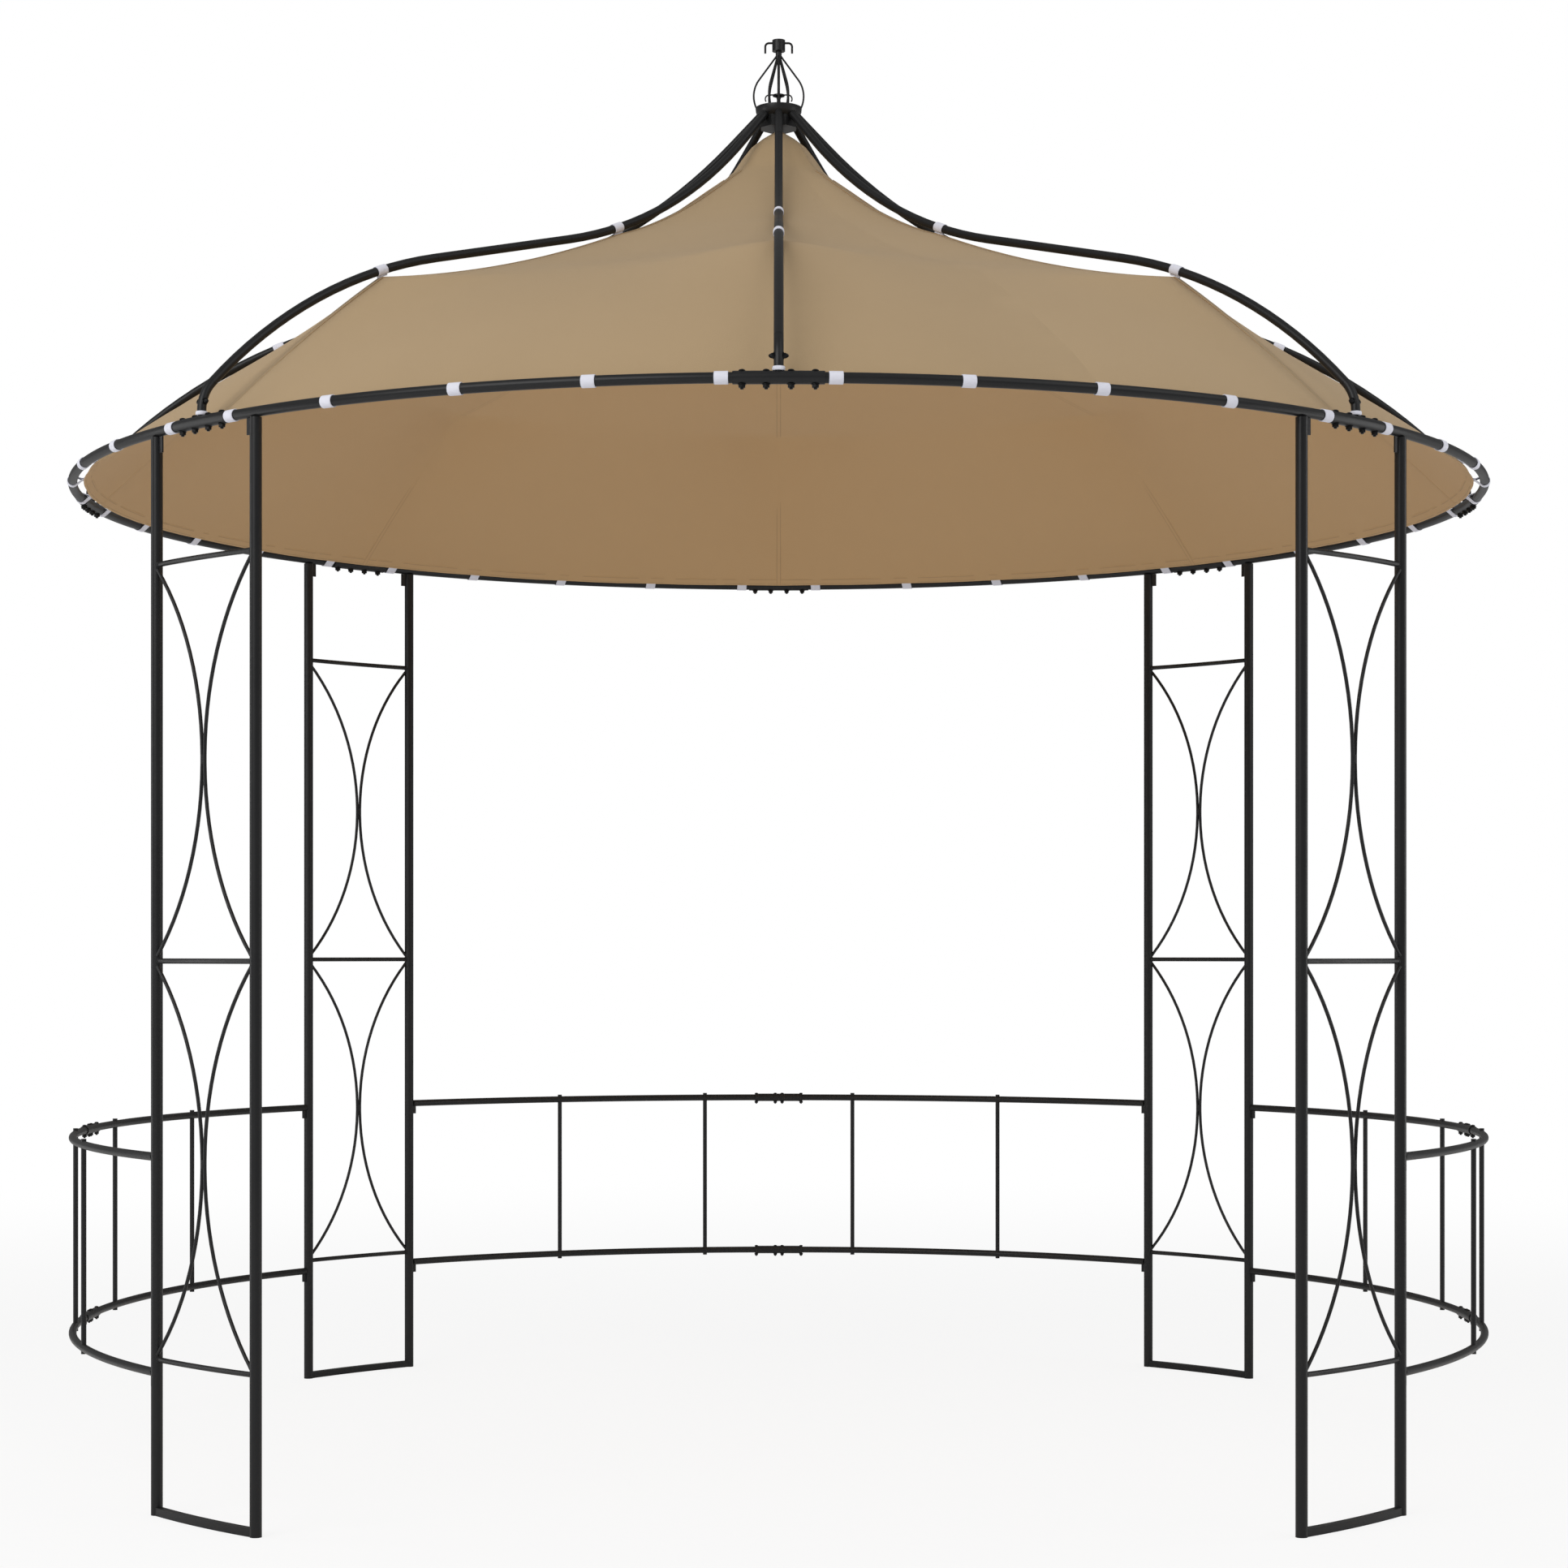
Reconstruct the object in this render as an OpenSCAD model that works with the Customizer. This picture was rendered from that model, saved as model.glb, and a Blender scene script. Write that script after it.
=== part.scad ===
// Round garden gazebo: a steel frame on four lattice columns, with a cloth roof
// tied under eight curved ribs. Open at the front, low fences on the other sides.
// Millimetres. +Z is up, -Y is the open front. The origin is on the ground at the centre.

/* [Plan] */
// Radius of the round plan, to the middle of the eaves ring's tube
ring_r = 1490; // [1280:10:1760]
// Height of the middle of the eaves ring's tube above the ground
ring_z = 2017; // [1850:1:2400]

/* [Eaves ring] */
// Diameter of the ring's tube
ring_d = 19; // [14:0.5:26]
// Outer diameter of the sleeves that join the ring's bars
sleeve_d = 23; // [20:0.5:32]
// Length of a sleeve along the ring
sleeve_len = 156; // [80:1:220]
// Diameter of the peg on a sleeve that carries a rib
peg_d = 12; // [8:0.5:16]

/* [Columns] */
// Width of a column, between the middles of its two tubes
column_w = 313; // [220:1:420]
// Diameter of a column tube
column_d = 22; // [16:0.5:30]
// Height of the lowest crossbar
low_bar_z = 290; // [200:1:400]
// Height of the middle crossbar
mid_bar_z = 1032; // [800:1:1200]
// Height of the highest crossbar
high_bar_z = 1770; // [1500:1:1820]
// Diameter of the crossbars
crossbar_d = 10; // [8:0.5:14]
// Diameter of the bowed bars between the crossbars
bow_d = 7; // [5:0.5:9]
// Height and depth of the square bar that a column stands on
foot_bar = 15; // [10:0.5:22]

/* [Fences] */
// Height of the fences' bottom rail
low_rail_z = 265; // [150:1:330]
// Height of the fences' top rail
high_rail_z = 667; // [550:1:900]
// Diameter of the rails
rail_d = 16; // [12:0.5:22]
// Outer diameter of the sleeves at the middle of the rails
rail_sleeve_d = 20; // [16:0.5:28]
// Length of a rail sleeve
rail_sleeve_len = 125; // [60:1:180]
// Diameter of the upright balusters
baluster_d = 10.5; // [8:0.5:14]
// Angle around the plan between neighbouring balusters
baluster_step = 15; // [12:0.5:16]

/* [Roof ribs] */
// Diameter of a rib's tube
rib_d = 17; // [12:0.5:22]
// Height of a rib's foot above the middle of the ring
rib_lift = 19; // [15:0.5:40]
// Radius of the tight bend at a rib's foot
foot_bend_r = 80; // [40:1:160]
// Radius of the bend over the eaves
eave_bend_r = 1120; // [800:10:1300]
// Radius of the bend up to the crown
crown_bend_r = 1064; // [800:10:1200]
// Distance from the middle at which the crown bend starts
crown_start_r = 600; // [550:1:660]
// Pitch of the steep ends of a rib
steep_pitch = 46.5; // [40:0.5:50]
// Pitch of the shallow middle of a rib
shallow_pitch = 15; // [10:0.5:20]

/* [Crown] */
// Distance from the middle to the hub's flat sides
hub_r = 38; // [30:0.5:50]
// Height of the hub's eight-sided body
hub_h = 42; // [36:1:60]
// Radius of the round plate on the hub
plate_r = 50; // [44:0.5:60]
// Thickness of that plate
plate_t = 3; // [2:0.5:5]
// Height of the finial's cage
cage_h = 123; // [100:1:180]
// Height of the finial's cap
cap_h = 24; // [16:1:40]
// Diameter of the finial's cap
cap_d = 28; // [20:1:40]

/* [Cloth] */
// Thickness of the roof cloth's solid
cloth_t = 3; // [2:0.5:6]
// Distance from the cloth's edge to the middle of the ring
edge_gap = 24; // [20:1:40]
// Width of a tie loop
loop_w = 24.5; // [15:0.5:30]
// Thickness of a tie loop
loop_t = 1.6; // [1:0.1:3]

/* [Hidden] */

$fn = 48;
// Steps that a full turn of a bent bar would have
bend_steps = 240;

frame_colour = "#24262a";
cloth_colour = "#b19a76";
loop_colour = "#ecebf2";

// Gap left between round faces of neighbouring pieces
clearance = 0.3;
// Ribs and ring joints around the plan
rib_count = 8;
rib_step = 360 / rib_count;
// Direction of the open front, from +X
front = -90;
// Length that makes a cutting block reach past what it cuts
past = 100;

// Half the angle that a column takes up around the plan
column_half = asin(column_w / 2 / ring_r);
column_top_z = ring_z - ring_d / 2 - clearance;

// Angle around the plan taken by a length along the ring
function plan_angle(length) = length / ring_r * 180 / PI;

// ---- A rib's line, as distance from the middle and height ----
foot_z = ring_z + rib_lift;
// Distance and height gained by a bend of radius 1 between the two pitches
bend_run = sin(steep_pitch) - sin(shallow_pitch);
bend_rise = cos(shallow_pitch) - cos(steep_pitch);
eave_start = [ring_r - foot_bend_r * (1 - sin(steep_pitch)), foot_z + foot_bend_r * cos(steep_pitch)];
eave_end = eave_start + eave_bend_r * [-bend_run, bend_rise];
crown_start = [crown_start_r, eave_end[1] + (eave_end[0] - crown_start_r) * tan(shallow_pitch)];
crown_end = crown_start + crown_bend_r * [-bend_run, bend_rise];
hub_mid_z = crown_end[1] + (crown_end[0] - hub_r) * tan(steep_pitch);

// Pitch of the rib at a distance r from the middle
function rib_pitch(r) =
    r > eave_end[0] ? asin(sin(steep_pitch) - (eave_start[0] - r) / eave_bend_r)
    : r > crown_start_r ? shallow_pitch
    : asin(sin(shallow_pitch) + (crown_start_r - r) / crown_bend_r);

// Height of the rib's middle at a distance r from the middle
function rib_z(r) =
    r > eave_end[0] ? eave_start[1] + eave_bend_r * (cos(rib_pitch(r)) - cos(steep_pitch))
    : r > crown_start_r ? eave_end[1] + (eave_end[0] - r) * tan(shallow_pitch)
    : crown_start[1] + crown_bend_r * (cos(shallow_pitch) - cos(rib_pitch(r)));

// Height of the rib's underside at a distance r from the middle
function rib_under_z(r) = rib_z(r) - rib_d / 2 / cos(rib_pitch(r));

// ---- The crown ----
hub_top_z = hub_mid_z + 13;
hub_bottom_z = hub_top_z - hub_h;
plate_top_z = hub_top_z + plate_t;
cap_z = plate_top_z + cage_h;
collar_d = 13;
collar_h = 22;
// Height of the cage's widest level above the plate
bulge_h = 26;
// Widest radius, bend radius and diameter of the outer and the inner cage bars
outer_bar = [54, 60, 4];
inner_bar = [29, 80, 5.5];

// ---- The cloth roof ----
edge_r = ring_r - edge_gap;
apex_z = hub_bottom_z - clearance;
// Distances from the middle of the two tie loops on each rib
low_tie_r = ring_r * 0.725;
high_tie_r = ring_r * 0.316;
tie_drop = 2 * clearance + loop_t + 2;
low_tie_z = rib_under_z(low_tie_r) - tie_drop;
high_tie_z = rib_under_z(high_tie_r) - tie_drop;
// Depth by which a ridge hangs under the straight line between two ties, outermost first
ridge_sags = [-12, 19, 38];
// Points on each stretch of a ridge between two ties
ridge_points = 5;
// Angles around the plan, from a ridge, at which the ring's loops sit
loop_step = 9.37;
loop_angles = [for (i = [-2:2]) rib_step / 2 + i * loop_step];

// One stretch of a ridge: outer and inner tie as [r, z], depth of sag
function stretch(outer, inner, sag) = [
    for (i = [0:ridge_points - 1]) let (u = i / ridge_points)
        [outer[0] + (inner[0] - outer[0]) * u,
         outer[1] + (inner[1] - outer[1]) * u - 4 * sag * u * (1 - u)]
];
edge_tie = [edge_r, ring_z];
low_tie = [low_tie_r, low_tie_z];
high_tie = [high_tie_r, high_tie_z];
apex = [0, apex_z];
ridge = concat(
    stretch(edge_tie, low_tie, ridge_sags[0]),
    stretch(low_tie, high_tie, ridge_sags[1]),
    stretch(high_tie, apex, ridge_sags[2])
);
cloth_angles = [for (s = [0:rib_count - 1]) for (a = concat([0], loop_angles)) front + s * rib_step + a];

// Share by which the cloth at a distance r follows the circle and not the straight chord
function roundness(r) = let (u = max(0, (r - low_tie_r) / (edge_r - low_tie_r))) u * u * (3 - 2 * u);

// Radius of the level line through a ridge point of radius r, at an angle a from the front
function level_r(r, a) =
    let (from_mid = (a - front) % rib_step - rib_step / 2,
         chord = r * cos(rib_step / 2) / cos(from_mid))
    chord + (r - chord) * roundness(r);

// ---- Building blocks ----

// Turns what is built on the +X side to an angle around the plan
module around(angle) {
    rotate([0, 0, angle]) children();
}

// A bar bent along the plan's circle, from angle a to angle b, with the children as its section
module plan_arc(a, b) {
    rotate([0, 0, a]) rotate_extrude(angle = b - a, $fn = bend_steps) children();
}

// A round bar bent along the plan's circle
module round_arc(a, b, d, z) {
    translate([0, 0, z]) plan_arc(a, b) translate([ring_r, 0]) circle(d = d);
}

// A sleeve bent along the plan's circle, around a tube of diameter inner_d
module sleeve_arc(a, b, outer_d, inner_d, z) {
    translate([0, 0, z]) plan_arc(a, b) translate([ring_r, 0]) difference() {
        circle(d = outer_d);
        circle(d = inner_d + 2 * clearance);
    }
}

// A round bar bent in the X-Z plane about [x, z], from angle a to angle b
module upright_arc(x, z, bend_r, a, b, d) {
    translate([x, 0, z]) rotate([90, 0, 0]) rotate([0, 0, a])
        rotate_extrude(angle = b - a, $fn = bend_steps) translate([bend_r, 0]) circle(d = d);
}

// A straight round bar in the X-Z plane, from one [x, z] to another
module upright_bar(from, to, d) {
    run = to[0] - from[0];
    rise = to[1] - from[1];
    translate([from[0], 0, from[1]]) rotate([0, atan2(run, rise), 0])
        cylinder(d = d, h = norm([run, rise]));
}

// Half the hairline seam between a bend and a straight length of the same bar
half_seam = 0.4;

// Angle that a seam takes off the end of a bend
function trim(bend_r) = half_seam / bend_r * 180 / PI;

// Point at a distance s up and inwards, at a pitch, from a point [r, z]
function uphill(point, pitch, s) = [point[0] - s * cos(pitch), point[1] + s * sin(pitch)];

// Plug that bridges a seam at a point [r, z] of a bar of diameter d
module seam_plug(point, pitch, d) {
    plug_half = d / 4;
    upright_bar(uphill(point, pitch, -plug_half), uphill(point, pitch, plug_half), d - 0.6);
}

// ---- Columns ----

// Two bars that bow towards each other between two crossbars, joined by a small bead
module bow_pair(z0, z1) {
    end_gap = 10;
    bead_d = 10;
    bead_h = 16;
    meet_x = bow_d / 2 + 0.4;
    end_x = column_w / 2 - column_d / 2 + 3;
    half_h = (z1 - z0) / 2 - end_gap;
    sagitta = end_x - meet_x;
    bow_r = (half_h * half_h + sagitta * sagitta) / (2 * sagitta);
    half_angle = asin(half_h / bow_r);
    flat_r = ring_r * (1 + cos(column_half)) / 2;
    translate([flat_r, 0, (z0 + z1) / 2]) rotate([0, 0, 90]) {
        upright_arc(meet_x + bow_r, 0, bow_r, 180 - half_angle, 180 + half_angle, bow_d);
        upright_arc(-meet_x - bow_r, 0, bow_r, -half_angle, half_angle, bow_d);
        translate([0, 0, -bead_h / 2]) cylinder(d = bead_d, h = bead_h);
    }
}

module column(angle) {
    gusset = [3, 14, 30];
    tube_in = plan_angle(column_d / 2 + gusset[1] / 2 - 2);
    color(frame_colour) around(angle) {
        for (side = [-1, 1])
            around(side * column_half) translate([ring_r, 0, 0])
                cylinder(d = column_d, h = column_top_z);
        for (side = [-1, 1])
            around(side * (column_half - tube_in))
                translate([ring_r - gusset[0] / 2, -gusset[1] / 2, column_top_z - gusset[2]]) cube(gusset);
        for (z = [low_bar_z, mid_bar_z, high_bar_z])
            round_arc(-column_half, column_half, crossbar_d, z);
        plan_arc(-column_half, column_half)
            translate([ring_r - foot_bar / 2, 0]) square(foot_bar);
        bow_pair(low_bar_z, mid_bar_z);
        bow_pair(mid_bar_z, high_bar_z);
    }
}

// ---- Eaves ring ----

// The bar to the left of a joint, butting against its neighbours inside the sleeves
module ring_bar(index) {
    start = front + (index - 1) * rib_step;
    color(frame_colour) round_arc(start, start + rib_step, ring_d, ring_z);
}

module ring_sleeve(index) {
    half = plan_angle(sleeve_len) / 2;
    color(frame_colour) around(front + (index - 1) * rib_step) difference() {
        union() {
            round_arc(-half, half, sleeve_d, ring_z);
            translate([ring_r, 0, ring_z]) cylinder(d = peg_d, h = rib_lift);
        }
        round_arc(-half - 1, half + 1, ring_d + 2 * clearance, ring_z);
    }
}

// ---- Ribs ----

module rib(index) {
    steep = 90 - steep_pitch;
    shallow = 90 - shallow_pitch;
    eave_x = eave_start[0] - eave_bend_r * sin(steep_pitch);
    eave_z = eave_start[1] - eave_bend_r * cos(steep_pitch);
    crown_x = crown_start[0] + crown_bend_r * sin(shallow_pitch);
    crown_z = crown_start[1] + crown_bend_r * cos(shallow_pitch);
    top_z = hub_mid_z + past * tan(steep_pitch);
    color(frame_colour) around(front + (index - 1) * rib_step) difference() {
        union() {
            upright_arc(ring_r - foot_bend_r, foot_z, foot_bend_r, 0, steep - trim(foot_bend_r), rib_d);
            seam_plug(eave_start, steep_pitch, rib_d);
            upright_arc(eave_x, eave_z, eave_bend_r,
                steep + trim(eave_bend_r), shallow - trim(eave_bend_r), rib_d);
            seam_plug(eave_end, shallow_pitch, rib_d);
            upright_bar(uphill(eave_end, shallow_pitch, half_seam),
                uphill(crown_start, shallow_pitch, -half_seam), rib_d);
            seam_plug(crown_start, shallow_pitch, rib_d);
            upright_arc(crown_x, crown_z, crown_bend_r,
                180 + steep + trim(crown_bend_r), 180 + shallow - trim(crown_bend_r), rib_d);
            seam_plug(crown_end, steep_pitch, rib_d);
            upright_bar(uphill(crown_end, steep_pitch, half_seam), [hub_r - past, top_z], rib_d);
        }
        translate([hub_r - 2 * past, -past, hub_mid_z - past]) cube([2 * past, 2 * past, 4 * past]);
    }
}

// ---- Fences ----

// Half a fence, from the middle of an opening to a column; side is -1 or 1
module fence_half(angle, side) {
    lug = [6, 7, 26];
    end_cap = 4;
    span = rib_step - column_half - plan_angle(column_d / 2 + clearance);
    a = min(0, side * span);
    b = max(0, side * span);
    lug_angle = side * (span - plan_angle(lug[1] / 2 + clearance));
    color(frame_colour) around(angle) {
        for (z = [low_rail_z, high_rail_z]) {
            round_arc(a, b, rail_d, z);
            around(lug_angle) translate([ring_r - lug[0] / 2, -lug[1] / 2, z - lug[2]]) cube(lug);
        }
        for (i = [0.5, 1.5])
            around(side * i * baluster_step)
                translate([ring_r, 0, low_rail_z - rail_d / 2 - end_cap])
                    cylinder(d = baluster_d, h = high_rail_z - low_rail_z + rail_d + 2 * end_cap);
    }
}

// The two sleeves that join the halves of a fence
module fence_sleeves(angle) {
    half = plan_angle(rail_sleeve_len) / 2;
    color(frame_colour) around(angle)
        for (z = [low_rail_z, high_rail_z])
            sleeve_arc(-half, half, rail_sleeve_d, rail_d, z);
}

// ---- Crown ----

module hub() {
    dome_r = 22;
    dome_h = 5;
    color(frame_colour) {
        translate([0, 0, hub_bottom_z]) around(rib_step / 2)
            cylinder(r = hub_r / cos(rib_step / 2), h = hub_h, $fn = rib_count);
        translate([0, 0, hub_top_z]) cylinder(r = plate_r, h = plate_t);
    }
}

// Point at which a straight line from [0, z] touches a circle of radius r about [x, 0], as an angle
function touch_angle(x, z, r) = atan2(z, -x) - acos(r / norm([x, z]));

// A cage bar: straight from the collar, then bent in to the plate
module cage_bar(bar) {
    widest = bar[0];
    bend_r = bar[1];
    d = bar[2];
    bend_x = widest - bend_r;
    top_h = cage_h - bulge_h - 4;
    touch = touch_angle(bend_x, top_h, bend_r);
    low = asin(bulge_h / bend_r) + 5;
    z = plate_top_z + bulge_h;
    touch_point = [bend_x + bend_r * cos(touch), z + bend_r * sin(touch)];
    pitch = 90 - touch;
    upright_arc(bend_x, z, bend_r, -low, touch - trim(bend_r), d);
    seam_plug(touch_point, pitch, d);
    upright_bar(uphill(touch_point, pitch, half_seam), [0, z + top_h], d);
}

module finial_cage() {
    color(frame_colour) difference() {
        union() {
            translate([0, 0, cap_z - collar_h]) cylinder(d = collar_d, h = collar_h);
            for (quarter = [0:90:270]) {
                around(quarter) cage_bar(outer_bar);
                around(quarter + rib_step) cage_bar(inner_bar);
            }
        }
        translate([0, 0, plate_top_z - past]) cylinder(r = past, h = past);
    }
}

// Turned spindle inside the cage, with a flange at the cage's widest level
module finial_spindle() {
    spindle_h = cage_h - collar_h;
    flange_h = 3;
    color(frame_colour) translate([0, 0, plate_top_z]) rotate_extrude() polygon([
        [0, 0], [5, 0], [4, 18], [5, bulge_h - 3], [13, bulge_h],
        [13, bulge_h + flange_h], [3, bulge_h + 2 * flange_h], [3, spindle_h], [0, spindle_h]
    ]);
}

// Turned cap with four hooks that hang from its sides
module finial_cap() {
    hook_d = 4.5;
    hook_bend_r = 8;
    hook_reach = 21;
    hook_drop = 14;
    hook_z = cap_z + cap_h - 6;
    color(frame_colour) {
        translate([0, 0, cap_z]) cylinder(d = cap_d, h = cap_h);
        for (quarter = [0:90:270]) around(quarter) {
            upright_bar([cap_d / 4, hook_z], [hook_reach, hook_z], hook_d);
            upright_arc(hook_reach, hook_z - hook_bend_r, hook_bend_r, 0, 90, hook_d);
            translate([hook_reach + hook_bend_r, 0, hook_z - hook_bend_r - hook_drop])
                cylinder(d = hook_d, h = hook_drop);
        }
    }
}

// ---- Cloth ----

// One closed skin: rings of points on the upper and lower side, with a point at each apex
module canopy() {
    rings = len(ridge);
    sides = len(cloth_angles);
    side_points = rings * sides + 1;
    function skin(drop) = concat(
        [for (point = ridge) for (a = cloth_angles)
            let (r = level_r(point[0], a)) [r * cos(a), r * sin(a), point[1] - drop]],
        [[0, 0, apex_z - drop]]
    );
    function at(i, j, under) = (under ? side_points : 0)
        + (i == rings ? rings * sides : i * sides + j % sides);
    upper = [for (i = [0:rings - 2]) for (j = [0:sides - 1]) each [
        [at(i, j, false), at(i + 1, j, false), at(i + 1, j + 1, false)],
        [at(i, j, false), at(i + 1, j + 1, false), at(i, j + 1, false)]
    ]];
    tip = [for (j = [0:sides - 1]) [at(rings - 1, j, false), at(rings, 0, false), at(rings - 1, j + 1, false)]];
    lower = [for (i = [0:rings - 2]) for (j = [0:sides - 1]) each [
        [at(i + 1, j, true), at(i, j, true), at(i + 1, j + 1, true)],
        [at(i + 1, j + 1, true), at(i, j, true), at(i, j + 1, true)]
    ]];
    under_tip = [for (j = [0:sides - 1]) [at(rings, 0, true), at(rings - 1, j, true), at(rings - 1, j + 1, true)]];
    rim = [for (j = [0:sides - 1]) each [
        [at(0, j, false), at(0, j + 1, false), at(0, j + 1, true)],
        [at(0, j, false), at(0, j + 1, true), at(0, j, true)]
    ]];
    color(cloth_colour)
        polyhedron(concat(skin(0), skin(cloth_t)), concat(upper, tip, lower, under_tip, rim), convexity = 6);
}

// Loops that go round the ring and hold the cloth's edge
module ring_loops() {
    half = plan_angle(loop_w) / 2;
    inner_d = ring_d + 2 * clearance;
    outer_d = inner_d + 2 * loop_t;
    color(loop_colour) for (s = [0:rib_count - 1]) for (a = loop_angles)
        translate([0, 0, ring_z]) around(front + s * rib_step + a) plan_arc(-half, half) difference() {
            union() {
                translate([ring_r, 0]) circle(d = outer_d);
                translate([edge_r + clearance, -loop_t]) square([edge_gap - ring_d / 2, loop_t]);
            }
            translate([ring_r, 0]) circle(d = inner_d);
        }
}

// A loop round a rib, with a tab down to the ridge of the cloth
module rib_loop(r) {
    inner_d = rib_d + 2 * clearance;
    outer_d = inner_d + 2 * loop_t;
    tab_top = inner_d / 2 + loop_t / 2;
    tab_bottom = (rib_d / 2 + tie_drop * cos(rib_pitch(r))) - clearance;
    translate([r, 0, rib_z(r)]) rotate([0, rib_pitch(r), 0]) {
        rotate([0, 90, 0]) difference() {
            cylinder(d = outer_d, h = loop_w, center = true);
            cylinder(d = inner_d, h = 2 * loop_w, center = true);
        }
        translate([-loop_w / 2, -loop_t, -tab_bottom]) cube([loop_w, 2 * loop_t, tab_bottom - tab_top]);
    }
}

// A loop round the peg under a rib's foot
module peg_loop() {
    loop_d = 21;
    low_z = ring_z + sleeve_d / 2 + clearance;
    translate([ring_r, 0, low_z]) difference() {
        cylinder(d = loop_d, h = foot_z - clearance - low_z);
        translate([0, 0, -1]) cylinder(d = peg_d + 2 * clearance, h = rib_lift);
    }
}

module rib_loops() {
    color(loop_colour) for (s = [0:rib_count - 1]) around(front + s * rib_step) {
        rib_loop(low_tie_r);
        rib_loop(high_tie_r);
        peg_loop();
    }
}

column(-45);  // column_front_right
column(45);  // column_back_right
column(135);  // column_back_left
column(225);  // column_front_left
ring_bar(1);  // ring_bar_1
ring_bar(2);  // ring_bar_2
ring_bar(3);  // ring_bar_3
ring_bar(4);  // ring_bar_4
ring_bar(5);  // ring_bar_5
ring_bar(6);  // ring_bar_6
ring_bar(7);  // ring_bar_7
ring_bar(8);  // ring_bar_8
ring_sleeve(1);  // ring_sleeve_1
ring_sleeve(2);  // ring_sleeve_2
ring_sleeve(3);  // ring_sleeve_3
ring_sleeve(4);  // ring_sleeve_4
ring_sleeve(5);  // ring_sleeve_5
ring_sleeve(6);  // ring_sleeve_6
ring_sleeve(7);  // ring_sleeve_7
ring_sleeve(8);  // ring_sleeve_8
rib(1);  // rib_1
rib(2);  // rib_2
rib(3);  // rib_3
rib(4);  // rib_4
rib(5);  // rib_5
rib(6);  // rib_6
rib(7);  // rib_7
rib(8);  // rib_8
fence_half(0, -1);  // fence_right_front
fence_half(0, 1);  // fence_right_back
fence_half(90, -1);  // fence_back_right
fence_half(90, 1);  // fence_back_left
fence_half(180, -1);  // fence_left_back
fence_half(180, 1);  // fence_left_front
fence_sleeves(0);  // fence_sleeves_right
fence_sleeves(90);  // fence_sleeves_back
fence_sleeves(180);  // fence_sleeves_left
hub();
finial_spindle();
finial_cage();
finial_cap();
canopy();
ring_loops();
rib_loops();
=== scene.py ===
"""Looks of the round garden gazebo: powder-coated frame, cloth roof, webbing ties, fasteners.

Metres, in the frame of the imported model: +Z up, -Y towards the open front, the origin on the
ground at the centre. Angles around the plan are in degrees from +X.
"""

import math

import bmesh
import bpy
import numpy as np
from mathutils import Matrix, Vector
from mathutils.bvhtree import BVHTree


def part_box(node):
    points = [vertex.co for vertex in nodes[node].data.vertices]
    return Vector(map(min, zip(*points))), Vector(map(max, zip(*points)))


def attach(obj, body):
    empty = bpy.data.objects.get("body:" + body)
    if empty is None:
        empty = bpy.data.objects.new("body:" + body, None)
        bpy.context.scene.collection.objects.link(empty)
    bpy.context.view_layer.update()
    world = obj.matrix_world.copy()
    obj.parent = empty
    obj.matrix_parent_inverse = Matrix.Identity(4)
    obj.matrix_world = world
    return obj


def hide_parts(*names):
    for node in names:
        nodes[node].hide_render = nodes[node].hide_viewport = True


MM = 0.001
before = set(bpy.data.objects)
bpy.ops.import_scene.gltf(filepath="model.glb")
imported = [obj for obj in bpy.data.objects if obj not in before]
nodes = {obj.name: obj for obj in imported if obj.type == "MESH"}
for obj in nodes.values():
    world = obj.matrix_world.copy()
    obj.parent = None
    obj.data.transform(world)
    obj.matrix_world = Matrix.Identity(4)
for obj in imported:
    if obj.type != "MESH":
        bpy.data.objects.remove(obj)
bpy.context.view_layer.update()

# ---- Measures taken from the frame ----

RIBS = 8
RIB_STEP = 360 / RIBS
FRONT = -90.0

low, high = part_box("ring_bar_1")
RING_TUBE_R = (high.z - low.z) / 2
RING_Z = (high.z + low.z) / 2
RING_R = -low.y - RING_TUBE_R

low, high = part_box("ring_sleeve_1")
SLEEVE_R = RING_Z - low.z
RIB_FOOT_Z = high.z

low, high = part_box("fence_sleeves_back")
RAIL_SLEEVE_R = high.y - RING_R
RAIL_HEIGHTS = (low.z + RAIL_SLEEVE_R, high.z - RAIL_SLEEVE_R)

low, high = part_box("rib_1")
RIB_TUBE_R = (high.x - low.x) / 2

low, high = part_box("hub")
PLATE_TOP_Z = high.z

# Shares of the ring's radius at which the cloth is tied to the ribs
LOW_TIE = 0.725
HIGH_TIE = 0.316
# Webbing ties on each eighth of the ring, as angles from the rib before them
TIE_STEP = 9.37
RING_TIES = [RIB_STEP / 2 + i * TIE_STEP for i in range(-2, 3)]
# The same beside the front rib, where they have slid a little
FRONT_TIES = [3.73, 12.5, 21.9, 32.1, 41.5]


def smooth_step(x, low=0.0, high=1.0):
    """0 below low, 1 above high and an even rise between."""
    t = np.clip((np.asarray(x, float) - low) / (high - low), 0, 1)
    return t * t * (3 - 2 * t)


def ties_of(eighth):
    """Angles of an eighth's webbing ties, from the rib before it."""
    if eighth == 0:
        return FRONT_TIES
    if eighth == RIBS - 1:
        return [RIB_STEP - tie for tie in reversed(FRONT_TIES)]
    return RING_TIES


def around(angle):
    """Turns what is built towards +X to an angle around the plan."""
    return Matrix.Rotation(math.radians(angle), 4, "Z")


def tangent_at(angle):
    """Direction along the ring at an angle around the plan."""
    a = math.radians(angle)
    return Vector((-math.sin(a), math.cos(a), 0))


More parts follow.
